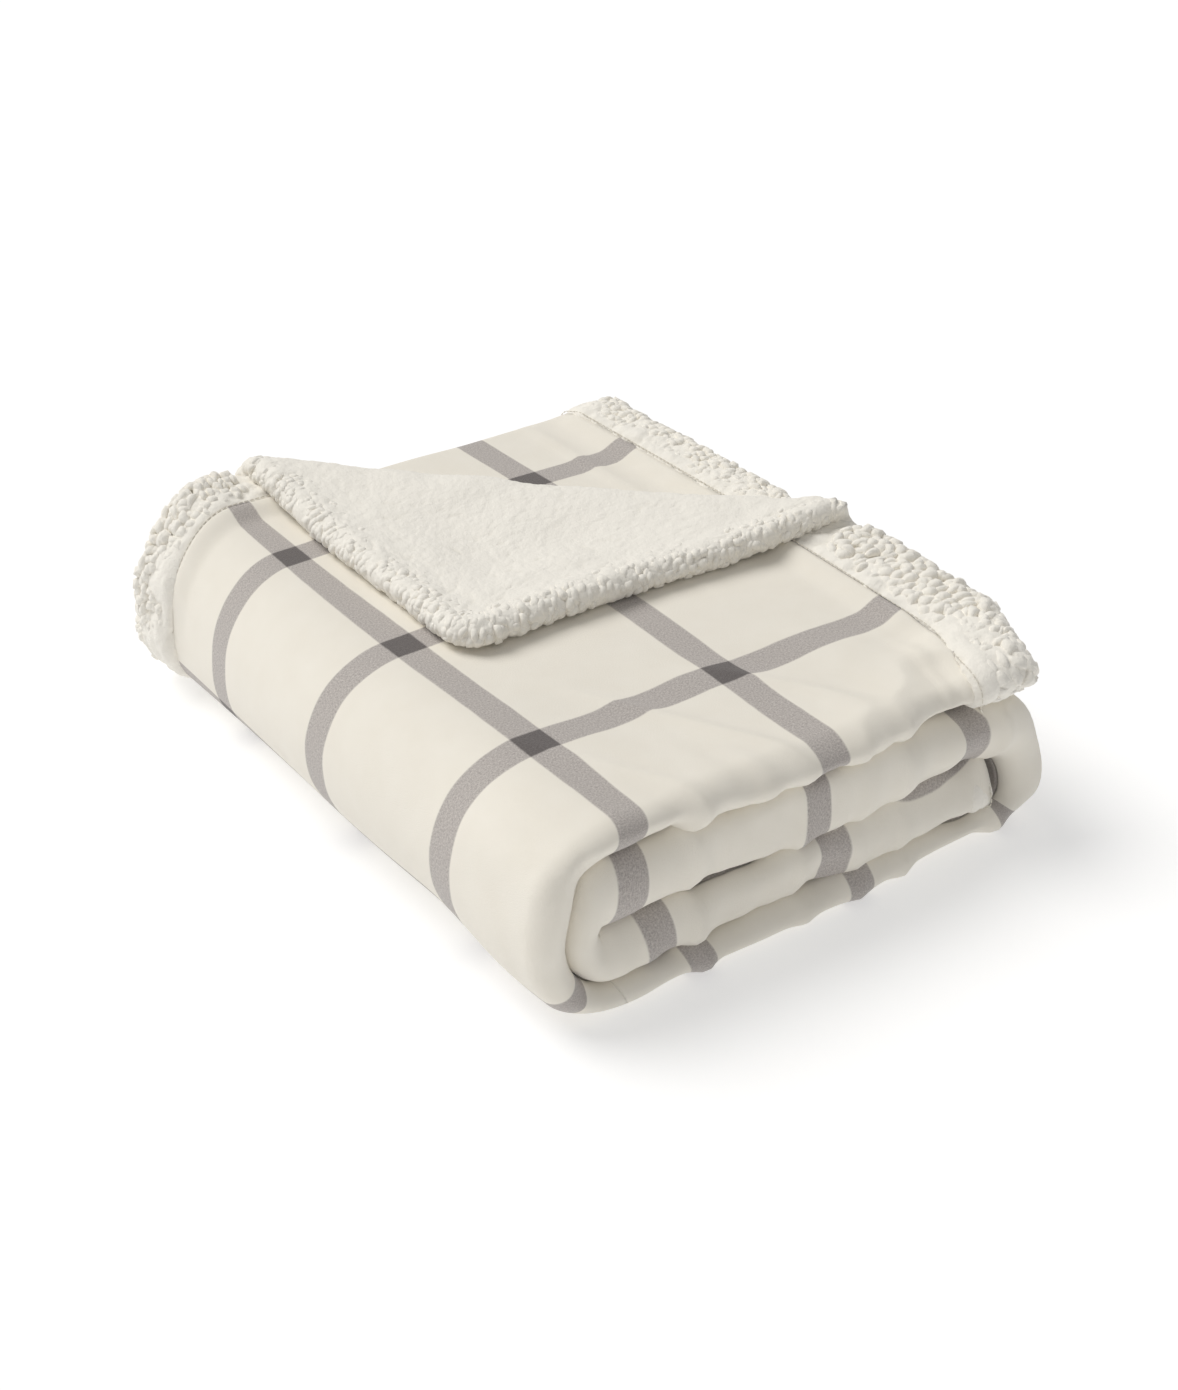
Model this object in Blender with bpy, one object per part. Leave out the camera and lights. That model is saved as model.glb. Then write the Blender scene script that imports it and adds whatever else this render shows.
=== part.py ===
"""A folded sherpa throw: a printed woven face sewn to a sherpa backing, folded and stacked, one corner turned back.

Metres, +Z up. X runs across the stack from the left wrap to the right-hand hems, Y runs along it from the
rolled front to the back hem, and the origin is the middle of the footprint, on the floor.

The blanket is first folded in three along Y, like a letter. That makes one layer of three plies: the upper ply
and the lower ply are joined by the front roll, the lower ply and the middle ply by the back fold. The layer is
then wound into a flat spiral of four layers along X: top, left wrap, bottom, right wrap, second, inner wrap and
third. Every stretch of that spiral is the same cross-section, drawn out straight or turned about a Y axis.
"""

import math

import bmesh
import bpy
from mathutils import Matrix, Vector

# ---- Driving dimensions ------------------------------------------------------------------------------------
FOLDED_WIDTH = 0.3410  # X, left wrap to the right-hand hem
FOLDED_LENGTH = 0.4225  # Y, front roll to back hem
FACE_THICK = 0.0016  # woven face
PILE_THICK = 0.0066  # sherpa backing with its pile
CLEAR = 0.0003  # between pieces that touch
LAYER_GAP = 0.0009  # between one layer and the next
BORDER = 0.0360  # sherpa turned over the edge as a hem
SEAM = 0.0016  # groove that the hem stitching lies in
BACK_FOLD_INSET = 0.0120  # the back fold lies this far inside the back hem
FRONT_HEM_INSET = 0.0020  # the middle ply's hem stops this far behind the front roll's centre
RIGHT_WRAP_INSET = 0.0020  # the right wrap lies this far inside the top hem
CORNER_LEG = 0.2500  # from the blanket's corner along each hem to the diagonal fold

ROLL_STEPS = 8
BACK_FOLD_STEPS = 6
HEM_STEPS = 4
LEFT_WRAP_STEPS = 10
RIGHT_WRAP_STEPS = 8
INNER_WRAP_STEPS = 6
CORNER_FOLD_STEPS = 6

# ---- Sizes that follow -------------------------------------------------------------------------------------
PLY = FACE_THICK + PILE_THICK + 2 * CLEAR
BACKING_DEPTH = FACE_THICK + CLEAR
PLY_DEPTH = PLY - CLEAR
LAYER = 3 * PLY - CLEAR
LAYER_PITCH = LAYER + LAYER_GAP
HEIGHT = 4 * LAYER + 3 * LAYER_GAP
MIDDLE_PLY_TOP = 2 * PLY - CLEAR

Y_FRONT = -FOLDED_LENGTH / 2
Y_HEM = FOLDED_LENGTH / 2
Y_SEAM = Y_HEM - BORDER - SEAM
Y_ROLL = Y_FRONT + LAYER / 2
Y_INNER_HEM = Y_ROLL + FRONT_HEM_INSET
Y_INNER_SEAM = Y_INNER_HEM + BORDER + SEAM
BACK_FOLD_RADIUS = PLY - CLEAR / 2
Y_BACK_FOLD = Y_HEM - BACK_FOLD_INSET - BACK_FOLD_RADIUS

X_HEM = FOLDED_WIDTH / 2
Z_WRAP = HEIGHT / 2  # the left and inner wraps turn about this height
LEFT_WRAP_INNER = LAYER_PITCH + LAYER_GAP / 2
X_WRAP = -FOLDED_WIDTH / 2 + LEFT_WRAP_INNER + LAYER
INNER_WRAP_INNER = LAYER_GAP / 2
RIGHT_WRAP_INNER = LAYER / 2 + LAYER_GAP
X_RIGHT_WRAP = X_HEM - RIGHT_WRAP_INSET - RIGHT_WRAP_INNER - LAYER
Z_RIGHT_WRAP = LAYER_PITCH + LAYER / 2

# The top layer lifts about a line in the cloth where the left wrap's curve starts to open.
LIFT_REACH = (LEFT_WRAP_INNER + LAYER / 2) * math.pi / 4
LIFT_AXIS = Vector((X_WRAP - LIFT_REACH, 0.0, Z_WRAP + LIFT_REACH))

# The turned corner folds about a diagonal line between the upper ply and the corner that lies on it.
CORNER_TIP = Vector((X_HEM - CORNER_LEG, Y_HEM - CORNER_LEG, 0.0))
Z_CORNER_AXIS = HEIGHT + CLEAR / 2
Z_CORNER = HEIGHT + CLEAR
DIAGONAL_FRONT = Vector((X_HEM, Y_HEM - CORNER_LEG, Z_CORNER_AXIS))
DIAGONAL_BACK = Vector((X_HEM - CORNER_LEG, Y_HEM, Z_CORNER_AXIS))

COLOURS = {
    "printed_face": (0.84, 0.81, 0.73, 1.0),
    "sherpa": (0.88, 0.86, 0.80, 1.0),
    "thread": (0.80, 0.77, 0.69, 1.0),
}


# ---- Scene -------------------------------------------------------------------------------------------------
def start_scene():
    """Empties the scene and makes the collections for the blanket's pieces and for the cutters."""
    for item in list(bpy.data.objects):
        bpy.data.objects.remove(item)
    collections = {}
    for name in ("folded_throw", "cutters"):
        collections[name] = bpy.data.collections.new(name)
        bpy.context.scene.collection.children.link(collections[name])
    return collections["folded_throw"], collections["cutters"]


PIECES, CUTTERS = start_scene()


def cloth_material(piece_name, cloth):
    """A rough Principled material of the piece's own, in the colour of its cloth."""
    material = bpy.data.materials.new(piece_name)
    material.use_nodes = True
    shader = material.node_tree.nodes["Principled BSDF"]
    shader.inputs["Base Color"].default_value = COLOURS[cloth]
    shader.inputs["Roughness"].default_value = 0.95
    shader.inputs["Metallic"].default_value = 0.0
    return material


def finish_piece(bm, name, cloth, hinge=None):
    """Turns the mesh into a named piece with its material, hung on a hinge empty if it moves."""
    bmesh.ops.recalc_face_normals(bm, faces=bm.faces)
    mesh = bpy.data.meshes.new(name)
    bm.to_mesh(mesh)
    bm.free()
    mesh.materials.append(cloth_material(name, cloth))
    piece = bpy.data.objects.new(name, mesh)
    PIECES.objects.link(piece)
    if hinge is not None:
        piece.parent = hinge
        piece.matrix_parent_inverse = hinge.matrix_world.inverted()
    return piece


def hinge_empty(name, place, parent=None):
    """An empty on a joint's axis, which the pieces that turn about it hang on."""
    empty = bpy.data.objects.new(name, None)
    empty.empty_display_size = 0.03
    empty.matrix_world = Matrix.Translation(place)
    PIECES.objects.link(empty)
    if parent is not None:
        empty.parent = parent
        empty.matrix_parent_inverse = parent.matrix_world.inverted()
    bpy.context.view_layer.update()
    return empty


# ---- The cross-section, as points (y, m): m is 0 on the layer's lower or inner side and LAYER on its outer --
def arc(centre_y, centre_m, radius, start_deg, end_deg, steps):
    """Points on an arc, both ends included."""
    angles = [math.radians(start_deg + (end_deg - start_deg) * i / steps) for i in range(steps + 1)]
    return [(centre_y + radius * math.cos(a), centre_m + radius * math.sin(a)) for a in angles]


def ply_path(depth, y_start, y_end):
    """The folded line that lies depth under the printed side: upper ply, front roll, lower ply, back fold, middle ply."""
    points = [(y_start, LAYER - depth)]
    points += arc(Y_ROLL, LAYER / 2, LAYER / 2 - depth, 90, 270, ROLL_STEPS)
    points += arc(Y_BACK_FOLD, BACK_FOLD_RADIUS, BACK_FOLD_RADIUS - depth, 270, 450, BACK_FOLD_STEPS)
    points += [(y_end, MIDDLE_PLY_TOP - depth)]
    return points


def folded_shell(outer_depth, inner_depth, y_start, y_end):
    """The closed outline of the folded cloth between two depths, cut square at both ends."""
    return ply_path(outer_depth, y_start, y_end) + ply_path(inner_depth, y_start, y_end)[::-1]


def face_outline():
    """The printed face, from the back seam to the middle ply's seam."""
    return folded_shell(0.0, FACE_THICK, Y_SEAM, Y_INNER_SEAM)


def sherpa_outline():
    """The sherpa backing. Past each seam it is turned over the edge, so the hem has the whole ply's thickness."""
    rounding = PLY_DEPTH / 2
    upper_hem = arc(Y_HEM - rounding, LAYER - rounding, rounding, -90, 90, HEM_STEPS)
    upper_step = [(Y_SEAM + SEAM, LAYER), (Y_SEAM + SEAM, LAYER - BACKING_DEPTH)]
    middle_step = [(Y_INNER_SEAM - SEAM, MIDDLE_PLY_TOP - BACKING_DEPTH), (Y_INNER_SEAM - SEAM, MIDDLE_PLY_TOP)]
    middle_hem = arc(Y_INNER_HEM + rounding, MIDDLE_PLY_TOP - rounding, rounding, 90, 270, HEM_STEPS)
    outer_line = ply_path(BACKING_DEPTH, 0.0, 0.0)[1:-1]
    inner_line = ply_path(PLY_DEPTH, 0.0, 0.0)[1:-1]
    return upper_hem + upper_step + outer_line + middle_step + middle_hem + inner_line[::-1]


def back_thread_outline():
    """The row of stitching in the back seam's groove."""
    low, high = LAYER - FACE_THICK, LAYER - CLEAR
    near, far = Y_SEAM + CLEAR, Y_SEAM + SEAM - CLEAR
    return [(near, low), (far, low), (far, high), (near, high)]


# ---- Stretches of the spiral -------------------------------------------------------------------------------
def outline_face(bm, outline, x, z_of):
    """A face in the plane at x, with each point's height worked out from its place in the layer."""
    return bm.faces.new([bm.verts.new((x, y, z_of(m))) for y, m in outline])


def straight_stretch(name, cloth, outline, x_start, x_end, z_base, flipped, hinge=None):
    """A flat stretch of the layer. A flipped one has its printed side down."""
    bm = bmesh.new()

    def z_of(m):
        return z_base + (LAYER - m if flipped else m)

    cap = outline_face(bm, outline, x_start, z_of)
    drawn = bmesh.ops.extrude_face_region(bm, geom=[cap])
    moved = [v for v in drawn["geom"] if isinstance(v, bmesh.types.BMVert)]
    bmesh.ops.translate(bm, vec=(x_end - x_start, 0.0, 0.0), verts=moved)
    return finish_piece(bm, name, cloth, hinge)


def wrapped_stretch(name, cloth, outline, x_centre, z_centre, inner_radius, steps, turn):
    """A half turn of the layer about a Y axis, starting at the top. turn is -1 to the left and 1 to the right."""
    bm = bmesh.new()
    cap = outline_face(bm, outline, x_centre, lambda m: z_centre + inner_radius + m)
    bmesh.ops.spin(
        bm,
        geom=[cap],
        cent=(x_centre, 0.0, z_centre),
        axis=(0.0, float(turn), 0.0),
        angle=math.pi,
        steps=steps,
        use_duplicate=False,
    )
    return finish_piece(bm, name, cloth)


STRAIGHTS = {
    "top": {"x_end": X_HEM, "z_base": 3 * LAYER_PITCH, "flipped": False, "hemmed": True},
    "second": {"x_end": X_RIGHT_WRAP, "z_base": 2 * LAYER_PITCH, "flipped": False, "hemmed": False},
    "third": {"x_end": X_RIGHT_WRAP - CLEAR, "z_base": LAYER_PITCH, "flipped": True, "hemmed": True},
    "bottom": {"x_end": X_RIGHT_WRAP, "z_base": 0.0, "flipped": True, "hemmed": False},
}
WRAPS = {
    "left_wrap": (X_WRAP, Z_WRAP, LEFT_WRAP_INNER, LEFT_WRAP_STEPS, -1),
    "inner_wrap": (X_WRAP, Z_WRAP, INNER_WRAP_INNER, INNER_WRAP_STEPS, -1),
    "right_wrap": (X_RIGHT_WRAP, Z_RIGHT_WRAP, RIGHT_WRAP_INNER, RIGHT_WRAP_STEPS, 1),
}


def make_straights(hinge):
    """The four layers: face, sherpa and back stitching, and the end hem where the blanket ends."""
    for layer, at in STRAIGHTS.items():
        place = {"z_base": at["z_base"], "flipped": at["flipped"], "hinge": hinge if layer == "top" else None}
        start = X_WRAP + CLEAR
        sherpa_end = at["x_end"] - BORDER if at["hemmed"] else at["x_end"] - CLEAR
        face_end = sherpa_end - SEAM if at["hemmed"] else sherpa_end
        straight_stretch(f"{layer}_face", "printed_face", face_outline(), start, face_end, **place)
        straight_stretch(f"{layer}_sherpa", "sherpa", sherpa_outline(), start, sherpa_end, **place)
        thread_end = face_end - CLEAR if at["hemmed"] else face_end
        straight_stretch(f"{layer}_back_stitching", "thread", back_thread_outline(), start, thread_end, **place)
        if at["hemmed"]:
            hem = folded_shell(0.0, PLY_DEPTH, Y_HEM, Y_INNER_HEM)
            straight_stretch(f"{layer}_end_hem", "sherpa", hem, sherpa_end + CLEAR, at["x_end"], **place)
            thread = folded_shell(CLEAR, FACE_THICK, Y_SEAM, Y_INNER_SEAM)
            ends = (face_end + CLEAR, sherpa_end - CLEAR)
            straight_stretch(f"{layer}_end_stitching", "thread", thread, *ends, **place)


def make_wraps():
    """The three half turns that join the layers."""
    for wrap, place in WRAPS.items():
        wrapped_stretch(f"{wrap}_face", "printed_face", face_outline(), *place)
        wrapped_stretch(f"{wrap}_sherpa", "sherpa", sherpa_outline(), *place)
        wrapped_stretch(f"{wrap}_back_stitching", "thread", back_thread_outline(), *place)


# ---- The turned corner -------------------------------------------------------------------------------------
def prism(name, outline, z_low, z_high):
    """A flat outline (x, y) drawn up between two heights."""
    bm = bmesh.new()
    base = bm.faces.new([bm.verts.new((x, y, z_low)) for x, y in outline])
    drawn = bmesh.ops.extrude_face_region(bm, geom=[base])
    moved = [v for v in drawn["geom"] if isinstance(v, bmesh.types.BMVert)]
    bmesh.ops.translate(bm, vec=(0.0, 0.0, z_high - z_low), verts=moved)
    return bm


def make_cutter(name, outline, z_low, z_high):
    """A prism that only cuts."""
    bm = prism(name, outline, z_low, z_high)
    bmesh.ops.recalc_face_normals(bm, faces=bm.faces)
    mesh = bpy.data.meshes.new(name)
    bm.to_mesh(mesh)
    bm.free()
    cutter = bpy.data.objects.new(name, mesh)
    CUTTERS.objects.link(cutter)
    cutter.hide_render = True
    cutter.display_type = "WIRE"
    return cutter


def cut(piece, cutter):
    """Cuts the cutter's shape out of the piece."""
    modifier = piece.modifiers.new("cut", "BOOLEAN")
    modifier.operation = "DIFFERENCE"
    modifier.solver = "EXACT"
    modifier.object = cutter


def corner_triangle(inset, diagonal_gap):
    """The turned corner's outline, inset from its two hems and kept off the diagonal fold."""
    x, y = CORNER_TIP.x + inset, CORNER_TIP.y + inset
    side = CORNER_LEG - 2 * inset - diagonal_gap * math.sqrt(2)
    return [(x, y), (x + side, y), (x, y + side)]


def corner_opening():
    """Cuts the turned corner out of the top layer's upper ply."""
    past = 0.03
    low = STRAIGHTS["top"]["z_base"] + 2 * PLY - CLEAR / 2
    outline = [
        (X_HEM + past, Y_HEM - CORNER_LEG - past),
        (X_HEM + past, Y_HEM + past),
        (X_HEM - CORNER_LEG - past, Y_HEM + past),
    ]
    cutter = make_cutter("corner_opening", outline, low, HEIGHT + past)
    for node in ("top_face", "top_sherpa", "top_end_hem", "top_end_stitching", "top_back_stitching"):
        cut(bpy.data.objects[node], cutter)


def corner_thread():
    """The stitching along the corner's two hems, one bent row in the groove under the sherpa."""
    near, far = BORDER + CLEAR, BORDER + SEAM - CLEAR
    run = CORNER_LEG - 2 * BORDER - 2 * SEAM
    x, y = CORNER_TIP.x, CORNER_TIP.y
    outline = [
        (x + near, y + near),
        (x + near + run, y + near),
        (x + near + run, y + far),
        (x + far, y + far),
        (x + far, y + near + run),
        (x + near, y + near + run),
    ]
    return prism("corner_stitching", outline, Z_CORNER + CLEAR, Z_CORNER + FACE_THICK)


def make_corner(hinge):
    """The corner turned back over the upper ply: sherpa side up, printed side down."""
    sherpa = prism("corner_sherpa", corner_triangle(0.0, CLEAR), Z_CORNER, Z_CORNER + PLY_DEPTH)
    sherpa = finish_piece(sherpa, "corner_sherpa", "sherpa", hinge)
    past = 0.02
    x, y = CORNER_TIP.x + BORDER, CORNER_TIP.y + BORDER
    pocket = [(x, y), (x + CORNER_LEG, y), (x, y + CORNER_LEG)]
    cut(sherpa, make_cutter("face_pocket", pocket, Z_CORNER - past, Z_CORNER + BACKING_DEPTH))
    face = prism("corner_face", corner_triangle(BORDER + SEAM, CLEAR), Z_CORNER, Z_CORNER + FACE_THICK)
    finish_piece(face, "corner_face", "printed_face", hinge)
    finish_piece(corner_thread(), "corner_stitching", "thread", hinge)


def fold_ring(name, cloth, inner_radius, outer_radius, end_gap):
    """Half a turn of one cloth about the diagonal, from under the upper ply round to the corner above it."""
    along = (DIAGONAL_BACK - DIAGONAL_FRONT).normalized()
    start = DIAGONAL_FRONT + along * end_gap
    end = DIAGONAL_BACK - along * end_gap
    down = Vector((0.0, 0.0, -1.0))
    bm = bmesh.new()
    corners = [
        start + down * inner_radius,
        end + down * inner_radius,
        end + down * outer_radius,
        start + down * outer_radius,
    ]
    strip = bm.faces.new([bm.verts.new(c) for c in corners])
    bmesh.ops.spin(
        bm,
        geom=[strip],
        cent=start,
        axis=-along,
        angle=math.pi,
        steps=CORNER_FOLD_STEPS,
        use_duplicate=False,
    )
    return finish_piece(bm, name, cloth)


def make_corner_fold():
    """The diagonal fold itself, printed face inside and sherpa outside."""
    face_inner = CLEAR / 2
    sherpa_inner = face_inner + BACKING_DEPTH
    hem_along = (BORDER + SEAM) * math.sqrt(2)
    fold_ring("corner_fold_face", "printed_face", face_inner, face_inner + FACE_THICK, hem_along)
    fold_ring("corner_fold_sherpa", "sherpa", sherpa_inner, sherpa_inner + PILE_THICK, PLY)


# ---- The blanket -------------------------------------------------------------------------------------------
lift_hinge = hinge_empty("top_layer_hinge", LIFT_AXIS)
corner_hinge = hinge_empty("corner_hinge", (DIAGONAL_FRONT + DIAGONAL_BACK) / 2, lift_hinge)
make_straights(lift_hinge)
make_wraps()
corner_opening()
make_corner(corner_hinge)
make_corner_fold()
print(f"stack {FOLDED_WIDTH:.4f} x {FOLDED_LENGTH:.4f} x {HEIGHT:.4f} m, {len(PIECES.objects)} objects")
print("lift axis", [round(c, 5) for c in LIFT_AXIS])
print("corner axis through", [round(c, 5) for c in DIAGONAL_FRONT], [round(c, 5) for c in DIAGONAL_BACK])
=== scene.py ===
# %% [markdown]
# # A folded sherpa throw
# The blanket is one printed cloth backed by one curly sherpa cloth. The sherpa is wider, and it is turned
# over the edges of the print as a fat hem. It is folded in three like a letter, and then wound into a flat
# roll of four layers. Everything below is made from one idea: a function that says where each point of the
# flat cloth lies once folded.

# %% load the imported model
import math

import bpy
import numpy as np
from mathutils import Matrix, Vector


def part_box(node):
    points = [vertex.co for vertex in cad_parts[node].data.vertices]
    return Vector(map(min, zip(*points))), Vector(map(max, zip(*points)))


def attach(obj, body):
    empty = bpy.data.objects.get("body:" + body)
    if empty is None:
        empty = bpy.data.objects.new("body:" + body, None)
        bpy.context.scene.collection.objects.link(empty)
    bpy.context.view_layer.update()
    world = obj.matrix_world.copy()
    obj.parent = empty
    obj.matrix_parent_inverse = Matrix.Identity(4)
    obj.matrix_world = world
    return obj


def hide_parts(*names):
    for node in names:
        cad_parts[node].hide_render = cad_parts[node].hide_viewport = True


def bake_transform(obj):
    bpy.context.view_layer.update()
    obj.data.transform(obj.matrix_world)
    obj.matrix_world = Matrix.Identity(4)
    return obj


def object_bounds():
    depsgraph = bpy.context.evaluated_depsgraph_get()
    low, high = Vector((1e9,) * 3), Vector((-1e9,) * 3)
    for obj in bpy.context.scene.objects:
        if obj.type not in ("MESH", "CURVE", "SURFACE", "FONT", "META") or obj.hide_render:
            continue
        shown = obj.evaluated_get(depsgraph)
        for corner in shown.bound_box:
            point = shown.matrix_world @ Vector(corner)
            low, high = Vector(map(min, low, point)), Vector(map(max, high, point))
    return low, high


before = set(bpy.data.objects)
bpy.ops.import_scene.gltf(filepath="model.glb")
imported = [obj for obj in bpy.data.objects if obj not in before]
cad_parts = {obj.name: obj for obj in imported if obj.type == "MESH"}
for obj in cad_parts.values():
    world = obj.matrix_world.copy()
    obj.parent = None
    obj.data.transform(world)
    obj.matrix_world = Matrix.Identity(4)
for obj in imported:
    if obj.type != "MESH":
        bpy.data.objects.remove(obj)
cad_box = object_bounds()

# %% sizes that the model gives
low, high = cad_box
bottom_low, bottom_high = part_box("bottom_face")
third_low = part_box("third_face")[0]
stack_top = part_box("top_face")[1].z
layer_thick = bottom_high.z - bottom_low.z
layer_pitch = third_low.z - bottom_low.z
print(f"folded {(high.x - low.x) * 1000:.0f} x {(high.y - low.y) * 1000:.0f} mm")
print(f"the stack is {stack_top * 1000:.0f} mm high")
print(f"one layer of three plies is {layer_thick * 1000:.1f} mm thick")

# %% [markdown]
# ## Where a point of the cloth lies
# A point has three numbers: along, its distance from the end that lies on top at the right; across, its
# distance from the edge that lies at the back; and depth, how far it is behind the printed surface. The
# cloth is first folded across, which gives a distance forward or back and a height in the layer, and then
# the layer is wound up. Working it out this way, and not by dropping a cloth, keeps every stripe where it
# belongs.

# %% the fold across: three plies
CLEAR = 0.0003          # air between two plies
PLY = (layer_thick + CLEAR) / 3
HEM = 0.036             # how far the sherpa is turned over onto the print
BACK_INSET = 0.012      # the inner fold stops this far short of the back
RIGHT_INSET = 0.002     # and the right wrap this far short of the top layer's end

right, back = high.x, high.y
nose_y = low.y + layer_thick / 2
back_fold = PLY - CLEAR / 2
back_fold_y = back - BACK_INSET - back_fold

w1 = back - nose_y
w2 = w1 + math.pi * layer_thick / 2
w3 = w2 + back_fold_y - nose_y
w4 = w3 + math.pi * back_fold
w5 = w4 + back_fold_y - nose_y


def fold_across(across, depth):
    """Where a point lies forward or back, and how high it is in its layer."""
    y, up = np.empty(across.shape), np.empty(across.shape)
    k = across < w1
    y[k], up[k] = back - across[k], layer_thick - depth[k]
    k = (across >= w1) & (across < w2)
    turn, reach = (across[k] - w1) * 2 / layer_thick, layer_thick / 2 - depth[k]
    y[k], up[k] = nose_y - reach * np.sin(turn), layer_thick / 2 + reach * np.cos(turn)
    k = (across >= w2) & (across < w3)
    y[k], up[k] = nose_y + across[k] - w2, depth[k]
    k = (across >= w3) & (across < w4)
    turn, reach = (across[k] - w3) / back_fold, back_fold - depth[k]
    y[k], up[k] = back_fold_y + reach * np.sin(turn), back_fold - reach * np.cos(turn)
    k = across >= w4
    y[k], up[k] = back_fold_y - (across[k] - w4), 2 * back_fold - depth[k]
    return y, up


print(f"three plies take {w5 * 1000:.0f} mm of cloth")

# %% the winding along: four layers
gap = layer_pitch - layer_thick
middle_z = stack_top / 2
left_inner = layer_pitch + gap / 2
left_x = low.x + left_inner + layer_thick
right_inner = layer_thick / 2 + gap
right_x = right - RIGHT_INSET - right_inner - layer_thick
right_z = layer_pitch + layer_thick / 2
inner_inner = gap / 2

b1 = right - left_x
b2 = b1 + math.pi * (left_inner + layer_thick)
b3 = b2 + right_x - left_x
b4 = b3 + math.pi * (right_inner + layer_thick)
b5 = b4 + right_x - left_x
b6 = b5 + math.pi * (inner_inner + layer_thick)
b7 = b6 + right_x - left_x


def wind_along(along, up):
    """Where a point lies left or right, and how high, once its layer is wound into the stack."""
    x, z = np.empty(along.shape), np.empty(along.shape)
    k = along < b1
    x[k], z[k] = right - along[k], 3 * layer_pitch + up[k]
    for start, end, cx, cz, inner, side in ((b1, b2, left_x, middle_z, left_inner, -1),
                                            (b3, b4, right_x, right_z, right_inner, 1),
                                            (b5, b6, left_x, middle_z, inner_inner, -1)):
        k = (along >= start) & (along < end)
        turn, reach = (along[k] - start) / (inner + layer_thick), inner + up[k]
        x[k] = cx + side * reach * np.sin(turn)
        z[k] = cz - side * reach * np.cos(turn)
    for start, end, x0, way, z0, flip in ((b2, b3, left_x, 1, layer_thick, -1),
                                          (b4, b5, right_x, -1, 2 * layer_pitch, 1),
                                          (b6, math.inf, left_x, 1, layer_pitch + layer_thick, -1)):
        k = (along >= start) & (along < end)
        x[k], z[k] = x0 + way * (along[k] - start), z0 + flip * up[k]
    return x, z


print(f"four layers take {b7 * 1000:.0f} mm of cloth")

# %% [markdown]
# Cloth is never as exact as that. The lower rolls at the front are flattened by the weight above, the roll
# at the left is tighter at the back than at the front, and every crease wanders. One smooth change of the
# whole space does it, so plies that touch go on touching. The wander comes from noise: a grid of fixed
# pseudo-random numbers, blended.

# %% smooth steps and noise
def step(a, b, t):
    """0 at a and before it, 1 at b and past it, and a smooth slope between."""
    t = np.clip((t - a) / (b - a), 0, 1)
    return t * t * (3 - 2 * t)


def bump(centre, reach, t):
    """1 at the centre, falling to 0 at a distance of reach."""
    return 1 - step(0, reach, np.abs(t - centre))


def hashed(i, j, k, seed):
    """A fixed number from 0 to 1 for each whole-numbered place: the same on every run."""
    n = (i * 374761393 + j * 668265263 + k * 2147483647 + seed * 974634777) & 0xFFFFFFFF
    n = ((n ^ (n >> 13)) * 1274126177) & 0xFFFFFFFF
    return ((n ^ (n >> 16)) & 0xFFFFFF) / 0xFFFFFF


def noise(points, size, seed):
    """Smooth lumps of about the given size, from -1 to 1."""
    q = points / np.asarray(size)
    cell = np.floor(q).astype(np.int64)
    f = q - cell
    f = f * f * f * (f * (f * 6 - 15) + 10)
    total = 0
    for corner in range(8):
        o = np.array([corner & 1, corner >> 1 & 1, corner >> 2])
        weight = np.prod(np.where(o == 1, f, 1 - f), -1)
        total = total + weight * hashed(*(cell[..., a] + o[a] for a in range(3)), seed)
    return total * 2 - 1


def tufts(points, size, seed):
    """Rounded tufts with narrow creases between them: 1 on a tuft, 0 in a crease."""
    q = points / size
    cell = np.floor(q).astype(np.int64)
    nearest = np.full(q.shape[:-1], 9.0)
    for dx in (-1, 0, 1):
        for dy in (-1, 0, 1):
            for dz in (-1, 0, 1):
                c = [cell[..., 0] + dx, cell[..., 1] + dy, cell[..., 2] + dz]
                away = sum((c[a] + hashed(*c, seed + a) - q[..., a]) ** 2 for a in range(3))
                nearest = np.minimum(nearest, away)
    return 1 - np.clip(nearest, 0, 1)


print(f"half way up a smooth step: {step(0.0, 1.0, 0.5):.2f}")

# %% how the stack settles
ROLL_HEIGHTS = (0.0, 0.016, 0.046, 0.087)       # where the front rolls meet, from the floor up
ROLL_BLUR = 0.008                               # how gently one roll passes into the next
FRONT_PUSH = 0.014                              # at the front the inner wrap is pushed out to the left
LEFT_TUCK, BACK_TUCK = 0.004, 0.016             # the left wrap is drawn in, most of all at the back
END_TUCK = 0.021                                # the top layer's end stops short at the front
BACK_SWELL = 0.0022                             # the top rises where the corner fold ends at the back
FRONT_DIP = 0.006                               # the top slopes down to the front, most at the right
SLOW_WANDER, QUICK_WANDER = 0.0020, 0.0016
NOSE_WANDER, FOOT_OUT = 0.004, 0.003            # the front rolls stand out unevenly, the lowest furthest


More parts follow.
